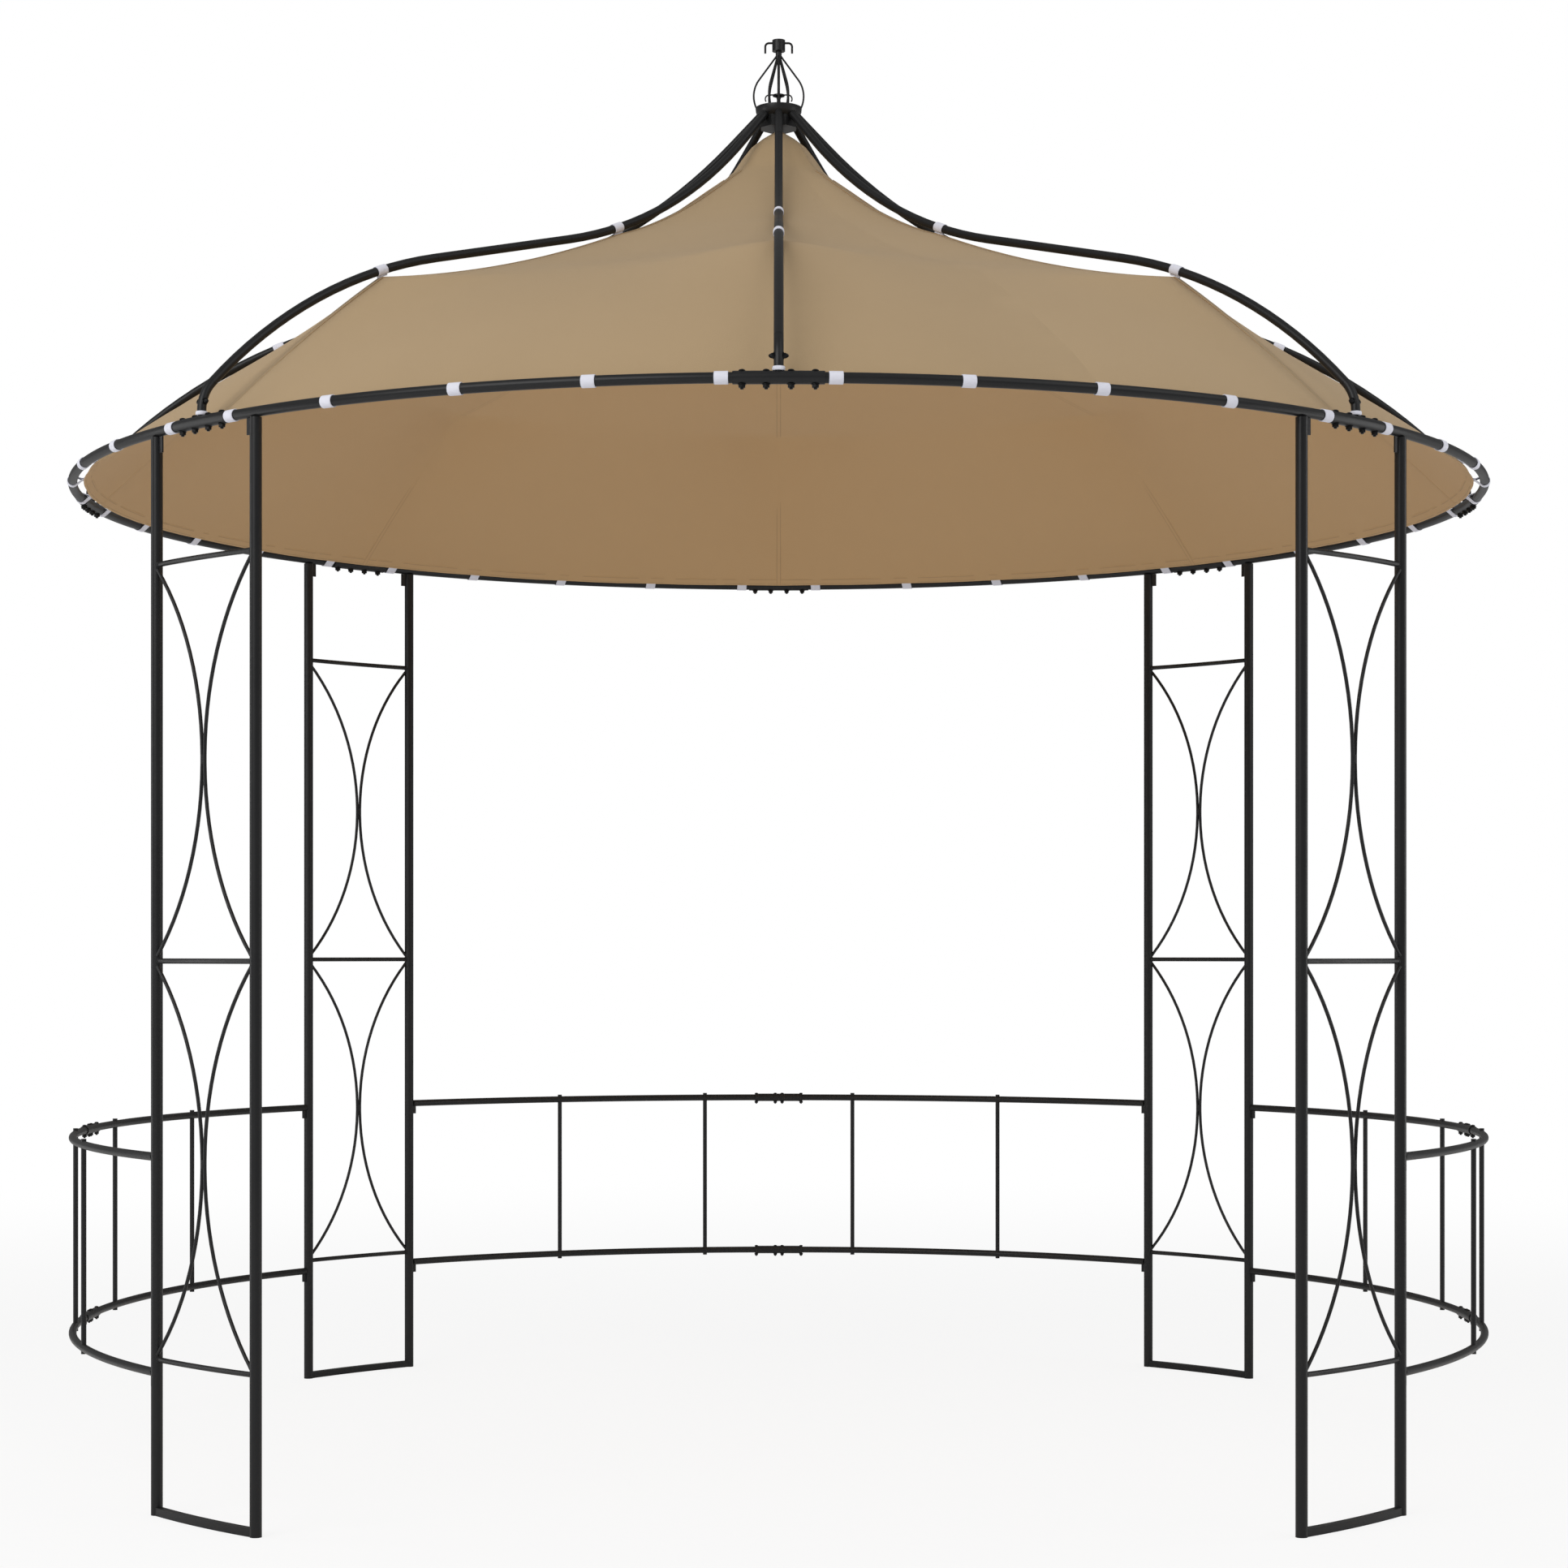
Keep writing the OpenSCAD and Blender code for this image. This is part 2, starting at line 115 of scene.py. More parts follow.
class RibLine:
    """The middle line of the front rib, read from its CAD surface."""

    def __init__(self):
        mesh = nodes["rib_1"].data
        points = [vertex.co for vertex in mesh.vertices]
        faces = [list(polygon.vertices) for polygon in mesh.polygons]
        self.tree = BVHTree.FromPolygons(points, faces)

    def height(self, r):
        """Height of the middle line at a distance r from the middle."""
        down = self.tree.ray_cast(Vector((0, -r, 9)), Vector((0, 0, -1)))[0]
        up = self.tree.ray_cast(Vector((0, -r, 0)), Vector((0, 0, 1)))[0]
        return (down.z + up.z) / 2

    def pitch(self, r, step=0.01):
        """Slope towards the middle, in radians."""
        return math.atan2(self.height(r - step) - self.height(r + step), 2 * step)


rib_line = RibLine()


# ---- Materials ----

class Nodes:
    """A short way to write a material's node tree."""

    def __init__(self, name):
        self.material = bpy.data.materials.new(name)
        self.material.use_nodes = True
        self.tree = self.material.node_tree
        self.shader = self.tree.nodes["Principled BSDF"]
        self.output = self.tree.nodes["Material Output"]

    def add(self, kind, settings=None, **inputs):
        """Adds a node; i0, i1 and so on feed an input by its number, other names feed it by name."""
        node = self.tree.nodes.new("ShaderNode" + kind)
        for key, value in (settings or {}).items():
            setattr(node, key, value)
        for key, value in inputs.items():
            socket = node.inputs[int(key[1:])] if key[0] == "i" and key[1:].isdigit() else node.inputs[key]
            self.feed(socket, value)
        return node

    def feed(self, socket, value):
        if isinstance(value, bpy.types.NodeSocket):
            self.tree.links.new(value, socket)
        else:
            socket.default_value = value

    def math(self, operation, a, b=0.0, c=0.0):
        return self.add("Math", {"operation": operation}, i0=a, i1=b, i2=c).outputs[0]

    def noise(self, scale, detail=2.0, where=None):
        where = where or self.add("TexCoord").outputs["Object"]
        return self.add("TexNoise", Vector=where, Scale=scale, Detail=detail).outputs["Fac"]

    def span(self, value, low, high):
        """Stretches a value from 0..1 to low..high."""
        return self.math("MULTIPLY_ADD", value, high - low, low)

    def blend(self, amount, one, other, how="MIX"):
        mix = self.add("Mix", {"data_type": "RGBA", "blend_type": how})
        self.feed(mix.inputs[0], amount)
        self.feed(mix.inputs[6], one)
        self.feed(mix.inputs[7], other)
        return mix.outputs[2]

    def bump(self, height, distance, strength=1.0, normal=None):
        node = self.add("Bump", Height=height, Distance=distance, Strength=strength)
        if normal:
            self.feed(node.inputs["Normal"], normal)
        return node.outputs["Normal"]

    def set(self, **values):
        for key, value in values.items():
            self.feed(self.shader.inputs[key.replace("_", " ")], value)
        return self.material


def powder_coat():
    """Anthracite powder coat: fine orange peel, faint cloudiness, and upper faces lightened in patches,
    partly dusty and partly painted light from above.
    """
    n = Nodes("powder_coat")
    dark, pale = (0.0075, 0.0078, 0.0086, 1), (0.0125, 0.0127, 0.0134, 1)
    speck_tone, dust_and_top_light_tone = (0.030, 0.030, 0.031, 1), (0.095, 0.093, 0.088, 1)
    peel = n.noise(900.0, 3.0)
    cloud = n.noise(7.0, 3.0)
    speck = n.math("GREATER_THAN", n.noise(260.0, 1.0), 0.72)
    tone = n.blend(cloud, dark, pale)
    tone = n.blend(n.math("MULTIPLY", speck, 0.2), tone, speck_tone)
    up = n.add("SeparateXYZ", i0=n.add("NewGeometry").outputs["Normal"]).outputs["Z"]
    # Painted light: faces turned up are lightened in patches, partly as dust and partly as painted light from
    # above
    dust_and_top_light = n.math("MULTIPLY", n.math("MAXIMUM", up, 0.0), n.span(n.noise(22.0, 4.0), 0.0, 0.16))
    tone = n.blend(dust_and_top_light, tone, dust_and_top_light_tone)
    rough = n.math("ADD", n.span(cloud, 0.30, 0.44), n.math("MULTIPLY", dust_and_top_light, 0.8))
    return n.set(Base_Color=tone, Roughness=rough, Normal=n.bump(peel, 0.00012, 0.5), Specular_IOR_Level=0.32)


def black_steel():
    """Blackened steel of the nuts and screws: darker and a little shinier than the frame."""
    n = Nodes("black_steel")
    wear = n.noise(420.0, 4.0)
    worn = n.math("MULTIPLY", n.math("GREATER_THAN", wear, 0.66), 0.5)
    tone = n.blend(worn, (0.006, 0.006, 0.0065, 1), (0.050, 0.048, 0.046, 1))
    return n.set(Base_Color=tone, Roughness=n.span(wear, 0.28, 0.5), Metallic=0.6,
                 Normal=n.bump(wear, 0.0001, 0.4))


def weave_height(n, pitch):
    """Height of a plain weave of a thread pitch in metres, from the mesh's own lengths in metres."""
    uv = n.add("SeparateXYZ", i0=n.add("UVMap", {"uv_map": "metres"}).outputs[0])
    turn = 2 * math.pi / pitch
    warp = n.math("SINE", n.math("MULTIPLY", uv.outputs["X"], turn))
    weft = n.math("SINE", n.math("MULTIPLY", uv.outputs["Y"], turn))
    return n.math("MULTIPLY", n.math("MULTIPLY", warp, weft), 0.5)


CLOTH_TONE = (0.452, 0.322, 0.181, 1)
# Painted light: a warmer, more saturated copy of the cloth's tone for its underside, in place of light
# through and between the cloth
UNDERSIDE_PAINTED_LIGHT_TONE = (0.548, 0.354, 0.177, 1)
SOIL_TONE = (0.46, 0.30, 0.15, 1)
STITCH_TONE = (0.330, 0.225, 0.120, 1)
CLOTH_PITCH = 1.1 * MM


def cloth_base(name, tone):
    """Sand polyester cloth: plain weave, slubs along both threads, soft mottling, faint soiling and a
    painted-light tone on its underside.
    """
    n = Nodes(name)
    uv = n.add("UVMap", {"uv_map": "metres"}).outputs[0]
    along = n.add("Mapping", i0=uv)
    along.inputs["Scale"].default_value = (900.0, 14.0, 1.0)
    across = n.add("Mapping", i0=uv)
    across.inputs["Scale"].default_value = (14.0, 900.0, 1.0)
    slubs = n.math("ADD", n.noise(1.0, 2.0, along.outputs[0]), n.noise(1.0, 2.0, across.outputs[0]))
    mottle = n.noise(3.2, 5.0)
    shade = n.math("ADD", n.span(n.math("MULTIPLY", slubs, 0.5), 0.95, 1.05), n.span(mottle, -0.045, 0.045))
    colour = n.blend(1.0, tone, n.add("CombineColor", i0=shade, i1=shade, i2=shade).outputs[0], "MULTIPLY")
    colour = n.blend(n.span(n.noise(1.1, 2.0), 0.0, 0.12), colour, SOIL_TONE)
    # Painted light: faces turned down take the underside's warmer tone, in place of light through the cloth
    facing = n.add("SeparateXYZ", i0=n.add("NewGeometry").outputs["Normal"]).outputs["Z"]
    under = n.math("LESS_THAN", facing, 0.0)
    colour = n.blend(n.math("MULTIPLY", under, 0.9), colour, UNDERSIDE_PAINTED_LIGHT_TONE)
    height = n.math("ADD", weave_height(n, CLOTH_PITCH), n.math("MULTIPLY", slubs, 0.35))
    n.set(Base_Color=colour, Roughness=0.86, Normal=n.bump(height, 0.0002, 0.6), Specular_IOR_Level=0.22,
          Sheen_Weight=0.08, Sheen_Roughness=0.5)
    return n


def roof_cloth():
    return cloth_base("roof_cloth", CLOTH_TONE).material


def stitched_cloth(rows, name):
    """The same cloth with rows of stitches, at distances in metres across the strip."""
    n = cloth_base(name, tuple(0.92 * c for c in CLOTH_TONE[:3]) + (1,))
    uv = n.add("SeparateXYZ", i0=n.add("UVMap", {"uv_map": "metres"}).outputs[0])
    stitch_step, stitch_share = 4.2 * MM, 0.72
    thread_r = 0.55 * MM
    along = n.math("FRACT", n.math("DIVIDE", uv.outputs["Y"], stitch_step))
    dash = n.math("LESS_THAN", along, stitch_share)
    stitches = None
    for row in rows:
        aside = n.math("ABSOLUTE", n.math("SUBTRACT", uv.outputs["X"], row))
        near = n.math("LESS_THAN", aside, thread_r)
        stitch = n.math("MULTIPLY", near, dash)
        stitches = stitch if stitches is None else n.math("MAXIMUM", stitches, stitch)
    colour = n.shader.inputs["Base Color"].links[0].from_socket
    weave = n.shader.inputs["Normal"].links[0].from_socket
    return n.set(Base_Color=n.blend(stitches, colour, STITCH_TONE),
                 Normal=n.bump(stitches, 0.0006, 0.8, weave))


def webbing():
    """White woven tape: ribs across its width and a faint lavender cast."""
    n = Nodes("white_webbing")
    pitch, edge_start = 1.6 * MM, 10.6 * MM
    clean, soiled, edge_tone = (0.78, 0.785, 0.87, 1), (0.60, 0.59, 0.64, 1), (0.60, 0.60, 0.68, 1)
    uv = n.add("SeparateXYZ", i0=n.add("UVMap", {"uv_map": "metres"}).outputs[0])
    ribs = n.math("SINE", n.math("MULTIPLY", uv.outputs["Y"], 2 * math.pi / pitch))
    height = n.math("ADD", n.math("MULTIPLY", ribs, 0.5), weave_height(n, pitch))
    edge = n.math("GREATER_THAN", n.math("ABSOLUTE", uv.outputs["X"]), edge_start)
    soil = n.span(n.noise(60.0, 3.0), 0.0, 0.16)
    colour = n.blend(soil, clean, soiled)
    colour = n.blend(n.math("MULTIPLY", edge, 0.35), colour, edge_tone)
    return n.set(Base_Color=colour, Roughness=0.8, Normal=n.bump(height, 0.0003, 0.7),
                 Specular_IOR_Level=0.25, Sheen_Weight=0.1)


COAT = powder_coat()
STEEL = black_steel()
CLOTH = roof_cloth()
TAPE = webbing()
SEAM = stitched_cloth([-4.5 * MM, 4.5 * MM], "seam_cloth")
HEM = stitched_cloth([-7 * MM, 7 * MM], "hem_cloth")


# ---- Building blocks ----

# Edges sharper than this many degrees stay crisp under smooth shading
SHARP_ANGLE = 40


class Part:
    """Points and faces that grow into one mesh, with lengths in metres as its UV map."""

    def __init__(self, name, material, slot):
        self.name, self.material, self.slot = name, material, slot
        self.points, self.faces, self.uvs = [], [], []

    def grid(self, points, uvs, close_u=False, close_v=False, at=None):
        """A net of quads from points[i][j], wrapped round in either direction if asked."""
        points = np.asarray(points, float)
        rows, columns = points.shape[:2]
        start = len(self.points)
        flat = [Vector(p) for p in points.reshape(-1, 3)]
        self.points += [at @ p for p in flat] if at else flat
        uvs = np.asarray(uvs, float)
        for i in range(rows if close_u else rows - 1):
            for j in range(columns if close_v else columns - 1):
                k, m = (i + 1) % rows, (j + 1) % columns
                self.faces.append([start + i * columns + j, start + k * columns + j,
                                   start + k * columns + m, start + i * columns + m])
                self.uvs.append([uvs[i][j], uvs[i + 1][j], uvs[i + 1][j + 1], uvs[i][j + 1]])
        return start

    def cap(self, indices):
        self.faces.append(list(indices))
        self.uvs.append([(0.0, 0.0)] * len(indices))

    def object(self):
        """The mesh as a piece of the scene, smooth-shaded and on the frame's body."""
        mesh = bpy.data.meshes.new(self.name)
        mesh.from_pydata([tuple(p) for p in self.points], [], self.faces)
        layer = mesh.uv_layers.new(name="metres")
        layer.data.foreach_set("uv", np.array([c for face in self.uvs for c in face], np.float32).reshape(-1))
        mesh.materials.append(self.material)
        mesh.validate()
        outward = bmesh.new()
        outward.from_mesh(mesh)
        bmesh.ops.recalc_face_normals(outward, faces=outward.faces)
        outward.to_mesh(mesh)
        outward.free()
        piece = bpy.data.objects.new(self.name, mesh)
        bpy.context.scene.collection.objects.link(piece)
        mesh.shade_smooth()
        mesh.set_sharp_from_angle(angle=math.radians(SHARP_ANGLE))
        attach(piece, "root")
        return piece

    def turned(self, outline, sides=20, at=None):
        """A turned solid from an outline of (radius, height), bottom to top, closed at both ends."""
        outline = np.asarray(outline, float)
        angles = np.linspace(0, 2 * math.pi, sides, endpoint=False)
        points = [[(r * math.cos(a), r * math.sin(a), z) for a in angles] for r, z in outline]
        run = np.concatenate([[0], np.cumsum(np.hypot(*np.diff(outline, axis=0).T))])
        uvs = [[(r0, s) for r0 in np.linspace(0, 2 * math.pi, sides + 1) * max(outline[:, 0])] for s in run]
        start = self.grid(points, uvs, close_v=True, at=at)
        last = start + (len(outline) - 1) * sides
        self.cap(range(start, start + sides))
        self.cap(range(last + sides - 1, last - 1, -1))

    def swept(self, path, sides_of, section, closed=False, at=None):
        """A section of (across, out) swept along a path; sides_of gives the across and out directions."""
        path = [Vector(p) for p in path]
        section = np.asarray(section, float)
        rows, uvs, run = [], [], 0.0
        for i, point in enumerate(path):
            across, out = sides_of(i)
            rows.append([point + across * u + out * v for u, v in section])
            run += (point - path[i - 1]).length if i else 0.0
            uvs.append([(section[k % len(section)][0], run) for k in range(len(section) + 1)])
        if closed:
            uvs.append([(u, run + (path[0] - path[-1]).length) for u, _ in uvs[-1]])
        start = self.grid([[tuple(p) for p in row] for row in rows], uvs, close_u=closed, close_v=True, at=at)
        if not closed:
            n = len(section)
            self.cap(range(start + n - 1, start - 1, -1))
            self.cap(range(start + (len(path) - 1) * n, start + len(path) * n))


def rounded_strip(width, thickness, edge_steps=3):
    """Section of a flat tape with rounded edges, as (across, out) points."""
    r = thickness / 2
    half = width / 2 - r
    turns = np.linspace(-90, 90, edge_steps + 2)
    right = [(half + r * math.cos(math.radians(t)), r * math.sin(math.radians(t))) for t in turns]
    across = [(x, r) for x in np.linspace(half, -half, 6)[1:-1]]
    left = [(-x, -y) for x, y in right]
    back = [(-x, -r) for x, _ in across]
    return right + across + left + back


def disc_section(radius, sides):
    """Section of a round wire, as (across, out) points."""
    return [(radius * math.cos(2 * math.pi * k / sides), radius * math.sin(2 * math.pi * k / sides))
            for k in range(sides)]


# ---- The cloth roof ----

def ridge_line():
    """The front ridge on the CAD skin, as (distance from the middle, height), outermost first."""
    skin = {}
    for vertex in nodes["canopy"].data.vertices:
        if abs(vertex.co.x) < 0.1 * MM and vertex.co.y < 0.1 * MM:
            r = round(-vertex.co.y, 4)
            skin[r] = max(skin.get(r, 0.0), vertex.co.z)
    return np.array(sorted(skin.items(), reverse=True))


# How far the cloth stands above a straight pull near its point, as distances from the middle and rises
CROWN_RISE = np.array([[0, 22, 40, 58, 72, 86, 100, 118, 150, 200],
                       [0, 6, 12, 15, 11, 2, -6, -6, -2, 0]]) * MM
# Half a step between ties, in degrees, over which a scallop reaches its full depth
SCALLOP_HALF = 4.7
SCALLOP_IN = 2.5 * MM
SCALLOP_UP = 2.0 * MM
SCALLOP_REACH = 0.09
# Tension folds from the ties: their height, and their middle and width from the cloth's edge
FOLD_HEIGHT = 1.6 * MM
FOLD_MIDDLE = 0.06
FOLD_WIDTH = 0.12
BELLY_DEPTH = 7.0 * MM
RIPPLE_HEIGHT = 1.3 * MM


class Cloth:
    """The surface of the roof cloth: a point for a row of the ridge line and an angle around the plan."""

    def __init__(self, stretches=3, fine=24):
        ridge = ridge_line()
        per = (len(ridge) - 1) // stretches
        parts = []
        for s in range(stretches):
            pick = ridge[s * per:(s + 1) * per + 1]
            share = np.linspace(0, 1, per + 1)
            u = np.linspace(0, 1, fine, endpoint=False)
            parts.append(np.column_stack([np.polyval(np.polyfit(share, pick[:, k], 2), u) for k in (0, 1)]))
        self.kinked = np.vstack(parts + [ridge[-1:]])
        self.relaxed = self.relax(self.slung(self.relax(self.kinked)), 8)
        self.rows = len(self.kinked)
        self.edge_r = self.kinked[0][0]
        steps = np.hypot(*np.diff(self.kinked, axis=0).T)
        self.run = np.concatenate([[0], np.cumsum(steps)])

    @staticmethod
    def relax(line, passes=50):
        """The same line with its kinks eased, its ends kept."""
        out = line.copy()
        for _ in range(passes):
            out[1:-1] = 0.5 * out[1:-1] + 0.25 * (out[:-2] + out[2:])
        return out

    def slung(self, line):
        """The same line kept at or below the ridge."""
        ridge = [self.ridge_height(r) for r in line[:, 0]]
        return np.column_stack([line[:, 0], np.minimum(line[:, 1], ridge)])

    def point(self, row, angle):
        """Point on the skin at a row of the ridge line."""
        from_ridge = (angle - FRONT) % RIB_STEP
        from_mid = math.radians(from_ridge - RIB_STEP / 2)
        inside = 1 - abs(from_ridge - RIB_STEP / 2) / (RIB_STEP / 2)
        ease = float(smooth_step(inside, 0.02, 0.75))
        r, z = self.kinked[row] * (1 - ease) + self.relaxed[row] * ease
        chord = r * math.cos(math.radians(RIB_STEP / 2)) / math.cos(from_mid)
        low_tie_r = RING_R * LOW_TIE
        level = chord + (r - chord) * float(smooth_step(r, low_tie_r, self.edge_r))
        level, z = self.slack(level, z, r, from_ridge, inside, angle)
        a = math.radians(angle)
        return Vector((level * math.cos(a), level * math.sin(a), z))

    def slack(self, level, z, r, from_ridge, inside, angle):
        """Scallops between the ring's ties, the round of the point, folds, a light belly and ripples."""
        ties = ties_of(int(((angle - FRONT) % 360) // RIB_STEP))
        nearest = min(abs(from_ridge - t) for t in [-ties[0]] + ties + [2 * RIB_STEP - ties[-1]])
        between = min(nearest / SCALLOP_HALF, 1.0)
        to_edge = self.edge_r - r
        near_edge = math.exp(-to_edge / SCALLOP_REACH)
        level -= SCALLOP_IN * near_edge * between * between
        z += SCALLOP_UP * near_edge * between
        fold = math.cos(math.radians(from_ridge - RIB_STEP / 2) * 360 / TIE_STEP)
        z += float(np.interp(r, CROWN_RISE[0], CROWN_RISE[1]))
        z += FOLD_HEIGHT * fold * math.exp(-((to_edge - FOLD_MIDDLE) / FOLD_WIDTH) ** 2)
        belly = math.sin(math.pi * float(smooth_step(r, 0.12, self.edge_r)))
        z -= BELLY_DEPTH * belly * float(smooth_step(inside))
        ripple = math.sin(3.1 * r / 0.31 + 2.3 * math.sin(math.radians(angle) * 3 + 1.7))
        z += RIPPLE_HEIGHT * ripple * float(smooth_step(inside)) * float(smooth_step(r, 0.2, 0.6))
        return level, z

    def ridge_height(self, r):
        """Height of a ridge at a distance r from the middle."""
        return float(np.interp(r, self.kinked[::-1, 0], self.kinked[::-1, 1]))

    def normal(self, row, angle):
        """Outward direction of the skin."""
        a0, a1 = self.point(row, angle - 0.3), self.point(row, angle + 0.3)
        r0, r1 = self.point(max(row - 1, 0), angle), self.point(min(row + 1, self.rows - 1), angle)
        n = (a1 - a0).cross(r1 - r0)
        if n.length < 1e-12:
            return Vector((0, 0, 1))
        n.normalize()
        return n if n.z > 0 else -n


def roof_sheet(cloth, across=18, thickness=0.9 * MM):
    """One continuous skin of cloth: eight eighths sewn along the ridges, closed at its edge."""
    part = Part("canopy_cloth", CLOTH, "cloth")
    columns = RIBS * across
    angles = [FRONT + 360 * j / columns for j in range(columns)]
    tip_row = cloth.rows - 1
    sides = {}
    for side, drop in (("top", 0.0), ("under", -thickness)):
        net = [[cloth.point(i, a) + cloth.normal(i, a) * drop for a in angles] for i in range(tip_row)]
        uvs = [[(math.radians(RIB_STEP) * cloth.kinked[i][0] * (((j - across / 2) % columns) / across - 0.5),
                 cloth.run[i]) for j in range(columns + 1)] for i in range(tip_row)]
        sides[side] = part.grid([[tuple(p) for p in row] for row in net], uvs, close_v=True)
    for side, drop in (("top", 0.0), ("under", -thickness)):
        tip = len(part.points)
        part.points.append(cloth.point(tip_row, FRONT) + Vector((0, 0, drop)))
        ring = sides[side] + (tip_row - 1) * columns
        for j in range(columns):
            part.faces.append([ring + j, tip, ring + (j + 1) % columns])
            part.uvs.append([(0.0, cloth.run[-2]), (0.0, cloth.run[-1]), (0.01, cloth.run[-2])])
    for j in range(columns):
        k = (j + 1) % columns
        part.faces.append([sides["top"] + j, sides["top"] + k, sides["under"] + k, sides["under"] + j])
        part.uvs.append([(0.0, 0.0)] * 4)
    return part.object()


def seam_tapes(cloth, width=15 * MM, thickness=2.1 * MM):
    """The felled seam along each ridge: folded cloth that stands proud on both sides."""
    part = Part("ridge_seams", SEAM, "cloth")
    sunk = 0.45 * MM
    rows_left_at_tip = 6
    rows = range(cloth.rows - rows_left_at_tip)
    for k in range(RIBS):
        angle = FRONT + k * RIB_STEP
        tangent = tangent_at(angle)
        path = [cloth.point(i, angle) + cloth.normal(i, angle) * -sunk for i in rows]
        narrow = [min(1.0, 0.35 + 3.5 * cloth.kinked[i][0]) for i in rows]
        part.swept(path, lambda i: (tangent * narrow[i], cloth.normal(i, angle)),
                   rounded_strip(width, thickness, 1))
    return part.object()


def edge_hem(cloth, width=24 * MM, thickness=2.42 * MM):
    """The hem: the edge folded round to both sides, in one band along the whole edge."""
    part = Part("edge_hem", HEM, "cloth")
    overhang = 2 * MM
    steps = RIBS * 72
    path, across, out = [], [], []
    for j in range(steps):
        angle = FRONT + 360 * j / steps
        inner, edge = cloth.point(1, angle), cloth.point(0, angle)
        up = (inner - edge).normalized()
        tangent = (cloth.point(0, angle + 0.2) - cloth.point(0, angle - 0.2)).normalized()
        path.append(edge + up * (width / 2 - overhang))
        across.append(up)
        out.append(tangent.cross(up).normalized())
    part.swept(path, lambda i: (across[i], out[i]), rounded_strip(width, thickness, 2), closed=True)
    return part.object()


# ---- Webbing ties ----

TAPE_W = 24.5 * MM
TAPE_T = 1.6 * MM
# Where a ring tie's end is sewn: up from the cloth's edge, and out from its skin
SEWN_UP = 4 * MM
SEWN_OUT = 1.4 * MM
# The sewn tab: how far it runs below and above that place, and how far it stands out from it
TAB_BELOW = 2 * MM
TAB_ABOVE = 10 * MM
TAB_OUT = 0.6 * MM


def teardrop(tube_r, reach, steps=30):
    """Path of a tape round a tube, from a seam at a distance reach along -X and back, in the X-Z plane."""
    r = tube_r + TAPE_T * 0.62
    open_angle = math.acos(min(1.0, r / reach))
    turns = np.linspace(math.pi - open_angle, -math.pi + open_angle, steps)
    arc = [(r * math.cos(t), r * math.sin(t)) for t in turns]
    gap = TAPE_T * 0.55
    waist, spread = -reach * 0.72, gap * 1.3
    return [(-reach, gap), (waist, spread)] + arc + [(waist, -spread), (-reach, -gap)]


def tie(part, tube_r, reach, at):
    """One tape round a tube that runs along Y, with its sewn end towards -X."""
    flat = teardrop(tube_r, reach)
    path = [Vector((x, 0, z)) for x, z in flat]
    along = Vector((0, 1, 0))

    def sides_of(i):
        before, after = path[max(i - 1, 0)], path[min(i + 1, len(path) - 1)]
        heading = (after - before).normalized()
        return along, heading.cross(along).normalized()

    part.swept(path, sides_of, rounded_strip(TAPE_W, TAPE_T), at=at)


def ring_ties(cloth):
    """The ties that go round the ring and are sewn to the cloth's hem."""
    part = Part("ring_ties", TAPE, "webbing")
    for k in range(RIBS):
        for offset in ties_of(k):
            angle = FRONT + k * RIB_STEP + offset
            edge, inner = cloth.point(0, angle), cloth.point(1, angle)
            up = (inner - edge).normalized()
            out = cloth.normal(0, angle)
            a = math.radians(angle)
            middle = Vector((RING_R * math.cos(a), RING_R * math.sin(a), RING_Z))
            sewn = edge + up * SEWN_UP + out * SEWN_OUT
            inward = middle - sewn
            rise = math.asin(-inward.z / inward.length)
            place = around(angle) @ Matrix.Translation((RING_R, 0, RING_Z)) @ Matrix.Rotation(rise, 4, "Y")
            tie(part, RING_TUBE_R, inward.length, place)
            tangent = tangent_at(angle)
            start, end = sewn - up * TAB_BELOW, sewn + up * TAB_ABOVE
            tab = [start.lerp(end, t) + out * TAB_OUT for t in np.linspace(0, 1, 5)]
            part.swept(tab, lambda i: (tangent, out), rounded_strip(TAPE_W, TAPE_T))
    return part.object()


def rib_ties(cloth):
    """The ties round each rib, sewn to the ridge below, and the tape round the peg at each rib's foot."""
    part = Part("rib_ties", TAPE, "webbing")
    clear = 0.4 * MM
    hole_r, end_r, wrap_r = 6.6 * MM, 10.2 * MM, 10.9 * MM
    round_off = 1.2 * MM
    for k in range(RIBS):
        turn = around(FRONT + k * RIB_STEP)
        for share in (LOW_TIE, HIGH_TIE):
            r = RING_R * share
            place = (turn @ Matrix.Translation((r, 0, rib_line.height(r)))
                     @ Matrix.Rotation(rib_line.pitch(r), 4, "Y") @ Matrix.Rotation(math.radians(90), 4, "Z")
                     @ Matrix.Rotation(math.radians(-90), 4, "Y"))
            below = (rib_line.height(r) - cloth.ridge_height(r)) * math.cos(rib_line.pitch(r))
            tie(part, RIB_TUBE_R, max(below - clear, RIB_TUBE_R + 2 * MM), place)
        low_z, high_z = RING_Z + SLEEVE_R + clear, RIB_FOOT_Z - clear
        outline = [(hole_r, low_z), (end_r, low_z), (wrap_r, low_z + round_off),
                   (wrap_r, high_z - round_off), (end_r, high_z), (hole_r, high_z)]
        part.turned(outline, 28, turn @ Matrix.Translation((RING_R, 0, 0)))
    return part.object()


# ---- Fasteners ----

# How far a bolt's seats sink into the round of its sleeve
SEAT_SUNK = 0.4 * MM
RING_BOLT_THREAD = 6 * MM
RAIL_BOLT_THREAD = 4.6 * MM
# Places of the bolts along their sleeves, from the sleeve's middle
RING_BOLTS_AT = (-62 * MM, -21 * MM, 21 * MM, 62 * MM)
RAIL_BOLTS_AT = (-59 * MM, -9 * MM, 9 * MM, 59 * MM)
FENCE_SIDES = (0, 90, 180)
COLUMN_CORNERS = (-45, 45, 135, 225)
COLUMN_W = 313 * MM
COLUMN_TUBE_R = 11 * MM
CROSSBAR_R = 5 * MM
CROSSBAR_HEIGHTS = (0.290, 1.032, 1.770)


